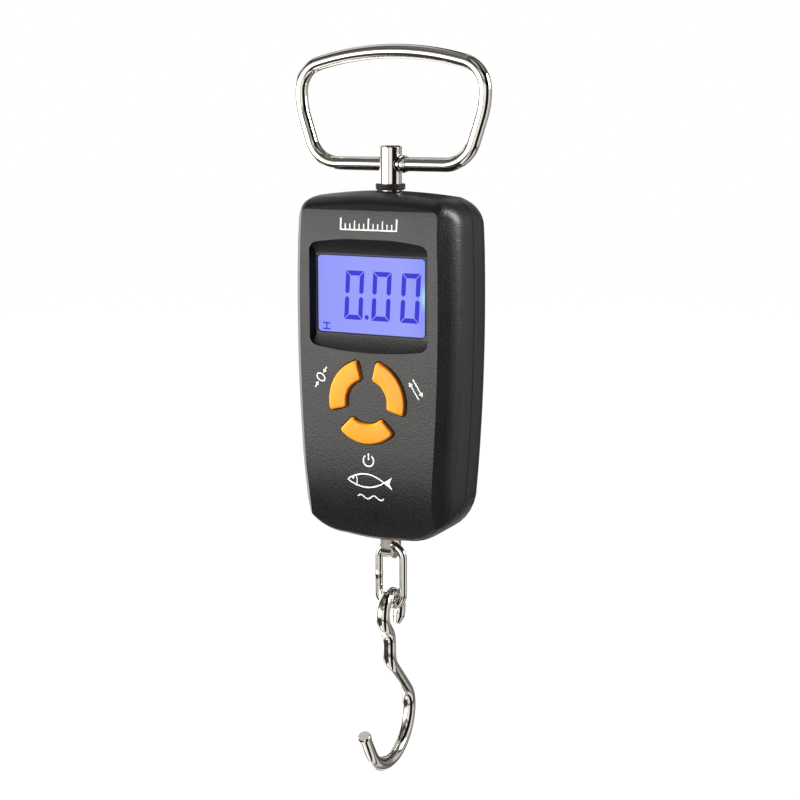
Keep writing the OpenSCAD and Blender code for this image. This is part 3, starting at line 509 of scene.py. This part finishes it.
def makeLink():
    k = linkLook
    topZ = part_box("chain_link")[1].z / mm - k["diameter"] / 2 - k["radius"]
    path = [(k["straight"], k["radius"], 180), (k["straight"], k["radius"], 180)]
    spine = wireWalk(path, 0, 0, 0, k["step"])[:-1]

    def radiusAt(i):
        x, y, heading = spine[i]
        weld = math.exp(-((x - k["straight"] / 2) / k["weldWidth"]) ** 2)
        return k["diameter"] / 2 + (k["weldSwell"] * weld if y < k["weldBelow"] else 0)

    # The walk starts along the left side, from its top down
    def place(u, v, w):
        return (v - k["radius"], w, topZ - u)

    points, faces = wireMesh(spine, radiusAt, k["sides"], place, closed=True)
    addPiece("link_wire", points, faces, chromedWire, "link", ["chain_link"])


makeLink()
print("wires made")

# Keys: three arcs of one ring, each with a rounded crown, a locating flange and a stem for its switch
# The face falls back near its top, by (start, fall, power), and its foot, by (start, fall, span, power)
caseLook = {"frontDepth": 14.2, "wall": 2, "ringDrop": 58.3, "faceEaseTop": (17, 1.25, 2),
            "faceEaseLow": (76, 4.4, 24, 2.2)}
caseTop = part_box("front_cover")[1].z / mm
keyLook = {"inner": 6.3, "outer": 12.1, "half": 46, "corner": 1.0, "proud": 1.0, "crown": 0.75,
           "crownSteps": 7, "crownCorner": 0.3, "cornerEase": 0.35, "flange": 0.9, "flangeHalf": 3,
           "flangeCorner": 1.2, "flangeGap": 0.2, "flangeBack": 1.0, "stem": 1.6, "stemSides": 24,
           "stemReach": (0.9, 2.8), "angles": {"tare": 150, "unit": 30, "power": 270}}


def arcPoints(cx, cy, r, a, b, n):
    return [(cx + r * math.cos(math.radians(a + (b - a) * i / n)),
             cy + r * math.sin(math.radians(a + (b - a) * i / n))) for i in range(n + 1)]


def keyOutline(inner, outer, half, corner):  # one key about the ring's centre, pointing along +X
    ao = half - math.degrees(math.asin(corner / (outer - corner)))
    ai = half - math.degrees(math.asin(corner / (inner + corner)))
    po = [(outer - corner) * f(math.radians(ao)) for f in (math.cos, math.sin)]
    pi = [(inner + corner) * f(math.radians(ai)) for f in (math.cos, math.sin)]
    return (arcPoints(0, 0, outer, -ao, ao, 40)
            + arcPoints(*po, corner, ao, half + 90, 10)[1:]
            + arcPoints(*pi, corner, half + 90, ai + 180, 8)
            + arcPoints(0, 0, inner, ai, -ai, 28)[1:-1]
            + arcPoints(pi[0], -pi[1], corner, 180 - ai, 270 - half, 8)
            + arcPoints(po[0], -po[1], corner, 270 - half, 360 - ao, 10)[:-1])


def makeKey(name, angle):
    k = keyLook
    face = -caseLook["frontDepth"]
    inside = face + caseLook["wall"]
    turn = math.radians(angle)

    def place(u, v, y):
        return (u * math.cos(turn) - v * math.sin(turn), y,
                u * math.sin(turn) + v * math.cos(turn) + caseTop - caseLook["ringDrop"])

    centre = (k["inner"] + k["outer"]) / 2
    rings = []
    for i in range(k["crownSteps"] + 1):  # quarter-round crown down to the straight skirt
        t = math.pi / 2 * i / k["crownSteps"]
        inset = k["crown"] * (1 - math.sin(t))
        outline = keyOutline(k["inner"] + inset, k["outer"] - inset, k["half"] - math.degrees(inset / centre),
                             max(k["crownCorner"], k["corner"] - k["cornerEase"] * inset))
        rings.append((outline, face - k["proud"] + k["crown"] * (1 - math.cos(t))))
    skirt = keyOutline(k["inner"], k["outer"], k["half"], k["corner"])
    flange = keyOutline(k["inner"] - k["flange"], k["outer"] + k["flange"], k["half"] + k["flangeHalf"],
                        k["flangeCorner"])
    shoulder = inside + k["flangeGap"]
    rings += [(skirt, shoulder), (flange, shoulder), (flange, inside + k["flangeBack"])]
    size = len(skirt)
    points = [place(u, v, y) for outline, y in rings for u, v in outline]
    faces = [tuple(range(size)), tuple((len(rings) - 1) * size + i for i in reversed(range(size)))]
    for r in range(len(rings) - 1):
        for i in range(size):
            a, b = r * size + i, r * size + (i + 1) % size
            faces.append((a, b, b + size, a + size))
    # Stem behind the flange
    start, stemSides = len(points), k["stemSides"]
    for reach in k["stemReach"]:
        points += [place(centre + u, v, inside + reach)
                   for u, v in arcPoints(0, 0, k["stem"], 0, 360, stemSides)[:-1]]
    faces += [tuple(start + i for i in range(stemSides)),
              tuple(start + stemSides + i for i in reversed(range(stemSides)))]
    for i in range(stemSides):
        a, b = start + i, start + (i + 1) % stemSides
        faces.append((a, b, b + stemSides, a + stemSides))
    addPiece(name + "_key_cap", points, faces, orangeAbs, name + "_button",
             [name + "_key"], sharp=40)


for keyName, keyAngle in keyLook["angles"].items():
    makeKey(keyName, keyAngle)
print("keys made")


# Flat marks: printed ink on the front face, segments on the display

def faceY(z):  # front face of the cover at this height below the case's top, in mm
    start, rise, power = caseLook["faceEaseTop"]
    if z > -start:
        return -caseLook["frontDepth"] + rise * ((z + start) / start) ** power
    low, roll, span, power = caseLook["faceEaseLow"]
    if z < -low:
        return -caseLook["frontDepth"] + roll * ((-low - z) / span) ** power
    return -caseLook["frontDepth"]


def prism(points, faces, outline, front, back):  # closed slab between two surfaces given by y(x, z)
    start, size = len(points), len(outline)
    points += [(x, front(x, z), z) for x, z in outline] + [(x, back(x, z), z) for x, z in outline]
    faces.append(tuple(start + i for i in range(size)))
    faces.append(tuple(start + size + i for i in reversed(range(size))))
    for i in range(size):
        a, b = start + i, start + (i + 1) % size
        faces.append((a, b, b + size, a + size))


def ribbon(line, width, closed=False):  # outlines of a drawn stroke, one four-cornered piece per step
    size = len(line)
    sides = []
    for i in range(size):
        before = line[(i - 1) % size] if closed or i > 0 else line[i]
        after = line[(i + 1) % size] if closed or i < size - 1 else line[i]
        dx, dz = after[0] - before[0], after[1] - before[1]
        long = math.hypot(dx, dz)
        nx, nz = -dz / long * width / 2, dx / long * width / 2
        sides.append(((line[i][0] + nx, line[i][1] + nz), (line[i][0] - nx, line[i][1] - nz)))
    return sides


def strokeSolid(points, faces, line, width, front, back, closed=False):
    sides = ribbon(line, width, closed)
    start, size = len(points), len(sides)
    for left, right in sides:
        for x, z in (left, right):
            points += [(x, front(x, z), z), (x, back(x, z), z)]
    for i in range(size if closed else size - 1):
        a, b = start + 4 * i, start + 4 * ((i + 1) % size)
        faces += [(a, b, b + 2, a + 2), (a + 1, a + 3, b + 3, b + 1),
                  (a, a + 1, b + 1, b), (a + 2, b + 2, b + 3, a + 3)]
    if not closed:
        e = start + 4 * (size - 1)
        faces += [(start, start + 2, start + 3, start + 1), (e, e + 1, e + 3, e + 2)]


inkLook = {"proud": 0.03, "sunk": 0.16, "line": 0.38, "arrowHalf": 0.6}


def inkFront(x, z):
    return faceY(z - caseTop) - inkLook["proud"]


def inkBack(x, z):
    return faceY(z - caseTop) + inkLook["sunk"]


def printMark(name, strokes, centre, turn=0):
    # strokes: (kind, points, width) about the mark's own middle, turned and set on the face
    c, s = math.cos(math.radians(turn)), math.sin(math.radians(turn))
    points, faces = [], []
    for kind, line, width in strokes:
        moved = [(centre[0] + x * c - z * s, caseTop - centre[1] + x * s + z * c) for x, z in line]
        if kind == "fill":
            prism(points, faces, moved, inkFront, inkBack)
        else:
            strokeSolid(points, faces, moved, width, inkFront, inkBack, closed=kind == "loop")
    addPiece(name, points, faces, whiteInk, "housing", sharp=30)


def fineLine(a, b, steps=4):
    return [(a[0] + (b[0] - a[0]) * i / steps, a[1] + (b[1] - a[1]) * i / steps) for i in range(steps + 1)]


def arrow(tail, tip, width, head):  # shaft and a filled head
    dx, dz = tip[0] - tail[0], tip[1] - tail[1]
    long = math.hypot(dx, dz)
    ux, uz = dx / long, dz / long
    neck = (tip[0] - ux * head, tip[1] - uz * head)
    half = head * inkLook["arrowHalf"]
    return [("line", fineLine(tail, neck, 2), width),
            ("fill", [tip, (neck[0] - uz * half, neck[1] + ux * half),
                      (neck[0] + uz * half, neck[1] - ux * half)], 0)]


rulerLook = {"half": 8.7, "steps": 12, "foot": -1.6, "overrun": 0.2, "tall": 1.6, "middling": 0.9,
             "short": 0.1, "bold": 1.2, "light": 0.9, "centre": (0.3, 8.6)}


def makeRuler():  # graduated ruler: tall strokes at the ends and middle, middling ones between them
    k = rulerLook
    stroke = inkLook["line"]
    ticks = []
    for i in range(k["steps"] + 1):
        x = -k["half"] + 2 * k["half"] * i / k["steps"]
        tall = i % 6 == 0
        top = k["tall"] if tall else k["middling"] if i % 3 == 0 else k["short"]
        ticks.append(("line", fineLine((x, k["foot"]), (x, top)), stroke * k["bold" if tall else "light"]))
    end = k["half"] + k["overrun"]
    ticks.append(("line", fineLine((-end, k["foot"]), (end, k["foot"]), k["steps"]), stroke))
    printMark("print_ruler", ticks, k["centre"])


zeroLook = {"wide": 0.95, "high": 1.4, "sides": 28, "tail": 3.6, "tip": 1.5, "head": 1.0,
            "centre": (-15.0, 52.3), "turn": 58}


def makeZero():  # zero between two inward arrows, beside the tare key
    k = zeroLook
    angles = [2 * math.pi * i / k["sides"] for i in range(k["sides"])]
    ring = [(k["wide"] * math.cos(t), k["high"] * math.sin(t)) for t in angles]
    strokes = [("loop", ring, inkLook["line"])]
    for side in (-1, 1):
        strokes += arrow((side * k["tail"], 0), (side * k["tip"], 0), inkLook["line"], k["head"])
    printMark("print_zero", strokes, k["centre"], k["turn"])


swapLook = {"reach": 2.8, "apart": 0.75, "head": 1.2, "centre": (15.1, 53.6), "turn": -57}


def makeSwap():  # two opposite arrows, beside the unit key
    k = swapLook
    strokes = []
    for side in (1, -1):
        strokes += arrow((-side * k["reach"], side * k["apart"]), (side * k["reach"], side * k["apart"]),
                         inkLook["line"], k["head"])
    printMark("print_swap", strokes, k["centre"], k["turn"])


powerLook = {"radius": 1.65, "drop": 0.1, "arc": (125, 415), "steps": 26, "bar": (0.1, 2.0), "bold": 1.1,
             "centre": (0.2, 75.1)}


def makePower():  # power sign: an open ring and a bar
    k = powerLook
    stroke = inkLook["line"] * k["bold"]
    foot, top = k["bar"]
    ring = arcPoints(0, -k["drop"], k["radius"], *k["arc"], k["steps"])
    printMark("print_power", [("line", ring, stroke), ("line", fineLine((0, foot), (0, top), 2), stroke)],
              k["centre"])


fishLook = {"nose": -7.0, "length": 11.5, "half": 2.05, "fullness": 0.8, "belly": 0.92, "steps": 14,
            "tail": [(4.3, 0.0), (7.2, 1.9), (6.3, 0.0), (7.2, -1.9)], "bold": 1.1, "light": 0.8,
            "gill": (-6.6, 0, 2.6, -38, 38, 8), "eye": (-5.3, 0.55, 0.36, 0, 360, 12), "centre": (0.5, 81.2)}


def makeFish():  # plain fish: back and belly, a notched tail, a gill line and an eye
    k = fishLook
    back = [(k["nose"] + k["length"] * i / k["steps"],
             k["half"] * math.sin(math.pi * i / k["steps"]) ** k["fullness"]) for i in range(k["steps"] + 1)]
    belly = [(x, -z * k["belly"]) for x, z in reversed(back[1:-1])]
    stroke = inkLook["line"]
    printMark("print_fish", [("loop", back + belly, stroke * k["bold"]), ("fill", k["tail"], 0),
                             ("line", arcPoints(*k["gill"]), stroke * k["light"]),
                             ("fill", arcPoints(*k["eye"])[:-1], 0)], k["centre"])


waveLook = {"half": 4.2, "height": 0.55, "waves": 2, "steps": 36, "centre": (0.6, 86.0)}


def makeWave():
    k = waveLook
    wave = [(-k["half"] + 2 * k["half"] * i / k["steps"],
             k["height"] * math.sin(2 * math.pi * k["waves"] * i / k["steps"]))
            for i in range(k["steps"] + 1)]
    printMark("print_wave", [("line", wave, inkLook["line"])], k["centre"])


for makeMark in (makeRuler, makeZero, makeSwap, makePower, makeFish, makeWave):
    makeMark()
print("printed marks made")

# Display: three seven-stroke figures and a point on the front of the display glass
figureLook = {"wide": 5.8, "high": 13.8, "stroke": 1.35, "gap": 0.24, "slant": 3.0, "thick": 0.03,
              "left": [-8.5, 0.1, 9.1], "low": -7.0, "point": (-1.3, -6.15), "pointRadius": 0.66,
              "scaleMark": (-15.3, -10.3), "border": 0.35, "paneCorner": 1.35, "mitre": 0.7071,
              "midGap": 1.3, "midCut": 0.45, "sunk": 0.02,
              "scaleBars": [(0, 2.3, 0, 0.4), (0.95, 1.35, 0.4, 1.7), (0, 2.3, 1.7, 2.1)]}


def figureBars(x0, z0):  # the six outer bars of a seven-bar figure, mitred at the corners
    f = figureLook
    w, h, s, d = f["wide"], f["high"], f["stroke"], f["gap"] * f["mitre"]
    half, point, cut = h / 2, f["gap"] * f["midGap"], s * f["midCut"]
    bars = []
    for edge, inward in ((0, s), (w, -s)):
        for end, middle in ((0, half - point), (h, half + point)):
            out = 1 if end == 0 else -1
            bars.append([(edge, end + out * d), (edge + inward, end + out * (s + d)),
                         (edge + inward, middle - out * cut), (edge + inward / 2, middle),
                         (edge, middle - out * cut)])
    for z, inward in ((0, s), (h, -s)):
        bars.append([(d, z), (w - d, z), (w - s - d, z + inward), (s + d, z + inward)])
    lean = math.tan(math.radians(f["slant"]))
    return [[(x0 + x + z * lean, z0 + z) for x, z in bar] for bar in bars]


def roundedFrame(w, h, r, middleZ):
    loop = []
    for sx, sz, start in ((1, 1, 0), (-1, 1, 90), (-1, -1, 180), (1, -1, 270)):
        loop += arcPoints(sx * (w / 2 - r), sz * (h / 2 - r) + middleZ, r, start, start + 90, 6)
    return loop


def makeDisplayMarks():
    f = figureLook
    low, high = (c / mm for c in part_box("display_window"))
    middleZ = (low.z + high.z) / 2

    def ahead(x, z):
        return low.y - f["thick"]

    def behind(x, z):
        return low.y + f["sunk"]

    points, faces = [], []
    for left in f["left"]:
        for bar in figureBars(left, middleZ + f["low"]):
            prism(points, faces, bar, ahead, behind)
    px, pz = f["point"]
    prism(points, faces, arcPoints(px, middleZ + pz, f["pointRadius"], 0, 360, 20)[:-1], ahead, behind)
    # Small weighing mark in the lower left corner: a pan, its stem and a foot
    sx, sz = f["scaleMark"]
    for x0, x1, z0, z1 in f["scaleBars"]:
        bar = [(sx + x, middleZ + sz + z) for x, z in ((x0, z0), (x1, z0), (x1, z1), (x0, z1))]
        prism(points, faces, bar, ahead, behind)
    addPiece("display_figures", points, faces, segmentInk, "housing", sharp=30)
    # Black border printed round the pane's edge
    points, faces = [], []
    b = f["border"]
    edge = roundedFrame(high.x - low.x - b, high.z - low.z - b, f["paneCorner"] - b / 2, middleZ)
    strokeSolid(points, faces, edge, b, ahead, behind, closed=True)
    addPiece("display_border", points, faces, blackRubber, "housing", sharp=30)


makeDisplayMarks()
print("display figures made")

# Studio

studio = {"floorDrop": 6, "floorSize": 5, "fill": 0.1, "tentRadius": 1.2, "domeRadius": 6,
          "panelTop": 3.0, "panelSoft": 0.008}  # brightness of a full ramp, and how soft a panel's edge is


def seenBy(piece, *rays):  # which rays meet a studio piece: camera, diffuse, glossy, transmission, shadow
    for ray in ("camera", "diffuse", "glossy", "transmission", "shadow"):
        setattr(piece, "visible_" + ray, ray in rays)


def stagePiece(name, points, faces, material):
    mesh = bpy.data.meshes.new(name)
    mesh.from_pydata(points, [], faces)
    for polygon in mesh.polygons:
        polygon.use_smooth = True
    mesh.materials.append(material)
    piece = bpy.data.objects.new(name, mesh)
    bpy.context.collection.objects.link(piece)
    return piece


def makeFloor():
    # Matt painted board: pale, almost even, and lit enough to leave only a faint shadow
    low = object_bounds()[0]
    material = surface("paintedBoardMatt", {
        "colours": [(0.3, "#3c3c3c"), (0.7, "#3f3f3f")], "roughness": (0.8, 0.9), "patch": 200,
        "grain": 6, "lift": 0.02, "shader": {"Specular IOR Level": 0.0, "Emission Color": linear("#ffffff"),
                                             "Emission Strength": 0.99}})
    half = studio["floorSize"] / 2
    z = low[2] - studio["floorDrop"] * mm
    floor = stagePiece("floor", [(-half, -half, z), (half, -half, z), (half, half, z), (-half, half, z)],
                       [(0, 1, 2, 3)], material)
    seenBy(floor, "camera", "shadow")


makeFloor()


def aroundObject(azimuth, elevation, distance, middle):
    a, e = math.radians(azimuth), math.radians(elevation)
    return middle + distance * Vector((math.sin(a) * math.cos(e), -math.cos(a) * math.cos(e), math.sin(e)))


objectMiddle = Vector((0, 0, -0.09))


def ball(radius, middle, rows=24, columns=48):
    points = [tuple(middle + radius * Vector((0, 0, side))) for side in (1, -1)]
    for i in range(1, rows):
        t = math.pi * i / rows
        for j in range(columns):
            a = 2 * math.pi * j / columns
            points.append(tuple(middle + radius * Vector((math.sin(t) * math.cos(a),
                                                          math.sin(t) * math.sin(a), math.cos(t)))))
    faces = []
    for j in range(columns):
        k = (j + 1) % columns
        faces.append((0, 2 + j, 2 + k))
        faces.append((1, 2 + (rows - 2) * columns + k, 2 + (rows - 2) * columns + j))
        for i in range(rows - 2):
            a, b = 2 + i * columns + j, 2 + i * columns + k
            faces.append((a, a + columns, b + columns, b))
    return points, faces


def glowing(name, colour, strength):
    material = bpy.data.materials.new(name)
    material.use_nodes = True
    tree = material.node_tree
    tree.nodes.clear()
    light = addNode(tree, "ShaderNodeEmission", {"Color": linear(colour), "Strength": strength})
    addNode(tree, "ShaderNodeOutputMaterial", None, {"Surface": light.outputs["Emission"]})
    return material, tree, light


def makeBackdrop():  # white cyclorama that only the camera sees
    points, faces = ball(studio["domeRadius"], objectMiddle, 16, 32)
    white = glowing("whiteBackdropPainted", "#ffffff", 1.0)[0]
    seenBy(stagePiece("backdrop", points, faces, white), "camera")


makeBackdrop()

# Light tent with black flags, which only mirrors in the metal and the sheen. Each row is the azimuth in
# degrees where a panel starts, 0 in front and 90 on the right, and its brightness
tentPanels = [(-180, 1.1), (-162, 0.03), (-150, 1.6), (-92, 0.9), (-78, 0.02), (-60, 5.2), (-4, 0.03),
              (6, 1.1), (42, 0.01), (88, 0.9), (120, 0.03), (130, 0.65), (148, 0.25), (166, 0.03)]
# Each row from here is a share of the tent's height, from its foot up, and the brightness there
tentHeights = [(0.0, 0.9), (0.2, 0.9), (0.25, 0.1), (0.3, 0.9), (0.6, 1.0), (0.65, 0.08), (0.72, 0.8),
               (0.82, 0.04), (0.88, 0.5), (0.97, 0.3), (1.0, 0.1)]
# In front on the left, where the case mirrors the tent, it is dark above and below. The sector's rows are
# the azimuth and how far frontHeights takes over there
frontSector = [(-84, 0), (-70, 1), (0, 1), (8, 0)]
frontHeights = [(0.0, 0.3), (0.07, 0.3), (0.11, 0.01), (0.3, 0.01), (0.38, 0.3), (0.43, 0.95), (0.53, 1.0),
                (0.64, 0.12), (0.8, 0.01), (1.0, 0.05)]


def makeTent():
    material, tree, light = glowing("lightTentPanels", "#fffdf9", 1.0)
    place = addNode(tree, "ShaderNodeTexCoord").outputs["Object"]
    turned = addNode(tree, "ShaderNodeMapping", {"Rotation": (0, 0, math.radians(90))}, {"Vector": place})
    around = addNode(tree, "ShaderNodeTexGradient", {"gradient_type": "RADIAL"},
                     {"Vector": turned.outputs["Vector"]})
    stops = []
    soft, top = studio["panelSoft"], studio["panelTop"]
    for k, (azimuth, glow) in enumerate(tentPanels):
        at = (azimuth + 180) / 360
        if k:
            stops.append((at - soft, tentPanels[k - 1][1] / top))
        stops.append((at + (soft if k else 0), glow / top))
    across = addNode(tree, "ShaderNodeValToRGB", {"stops": stops}, {"Fac": around.outputs["Fac"]})
    height = addNode(tree, "ShaderNodeSeparateXYZ", None, {"Vector": place}).outputs["Z"]
    share = addNode(tree, "ShaderNodeMapRange", {"From Min": -studio["tentRadius"],
                    "From Max": studio["tentRadius"]}, {"Value": height})
    up = addNode(tree, "ShaderNodeValToRGB", {"stops": tentHeights}, {"Fac": share.outputs["Result"]})
    upFront = addNode(tree, "ShaderNodeValToRGB", {"stops": frontHeights}, {"Fac": share.outputs["Result"]})
    sector = addNode(tree, "ShaderNodeValToRGB", {"stops": [((a + 180) / 360, v) for a, v in frontSector]},
                     {"Fac": around.outputs["Fac"]})
    upBoth = addNode(tree, "ShaderNodeMix", {"data_type": "FLOAT"},
                     {0: sector.outputs["Color"], 2: up.outputs["Color"], 3: upFront.outputs["Color"]})
    both = addNode(tree, "ShaderNodeMath", {"operation": "MULTIPLY"},
                   {0: across.outputs["Color"], 1: upBoth.outputs[0]})
    full = addNode(tree, "ShaderNodeMath", {"operation": "MULTIPLY", 1: top}, {0: both.outputs["Value"]})
    tree.links.new(full.outputs["Value"], light.inputs["Strength"])
    points, faces = ball(studio["tentRadius"], Vector((0, 0, 0)))
    tent = stagePiece("light_tent", points, faces, material)
    tent.location = objectMiddle
    seenBy(tent, "glossy")


makeTent()

softboxes = {  # azimuth, elevation, distance m, width m, height m, radiance, whether surfaces mirror it
    "keySoftbox": (-62, 12, 0.75, 0.5, 0.6, 21.0, False),
    "rimSoftbox": (112, 24, 0.8, 0.28, 0.4, 17.0, True)}


def makeSoftbox(name, azimuth, elevation, distance, width, height, radiance, mirrored):
    light = bpy.data.lights.new(name, "AREA")
    light.shape = "RECTANGLE"
    light.size, light.size_y = width, height
    light.energy = radiance * math.pi * width * height
    lamp = bpy.data.objects.new(name, light)
    lamp.location = aroundObject(azimuth, elevation, distance, objectMiddle)
    lamp.rotation_euler = (objectMiddle - lamp.location).to_track_quat("-Z", "Y").to_euler()
    bpy.context.collection.objects.link(lamp)
    lamp.visible_camera = False
    lamp.visible_glossy = mirrored


for boxName, boxSettings in softboxes.items():
    makeSoftbox(boxName, *boxSettings)


def makeWorld():  # faint even fill
    world = bpy.data.worlds.new("studioWorld")
    world.use_nodes = True
    sky = world.node_tree.nodes["Background"]
    sky.inputs["Color"].default_value = linear("#ffffff")
    sky.inputs["Strength"].default_value = studio["fill"]
    bpy.context.scene.world = world


viewPoint = {"azimuth": 26.9, "elevation": 10.55, "distance": 447, "lens": 69.75, "sensor": 36,
             "aim": (3, 0, -96.3), "clipStart": 0.01}


def makeCamera():
    v = viewPoint
    aim = Vector(v["aim"]) * mm
    lens = bpy.data.cameras.new("camera")
    lens.lens, lens.sensor_width, lens.clip_start = v["lens"], v["sensor"], v["clipStart"]
    camera = bpy.data.objects.new("camera", lens)
    camera.location = aroundObject(v["azimuth"], v["elevation"], v["distance"] * mm, aim)
    camera.rotation_euler = (aim - camera.location).to_track_quat("-Z", "Y").to_euler()
    bpy.context.collection.objects.link(camera)
    bpy.context.scene.camera = camera


makeWorld()
makeCamera()
bpy.context.scene.view_settings.view_transform = "Standard"
print("studio and camera set")
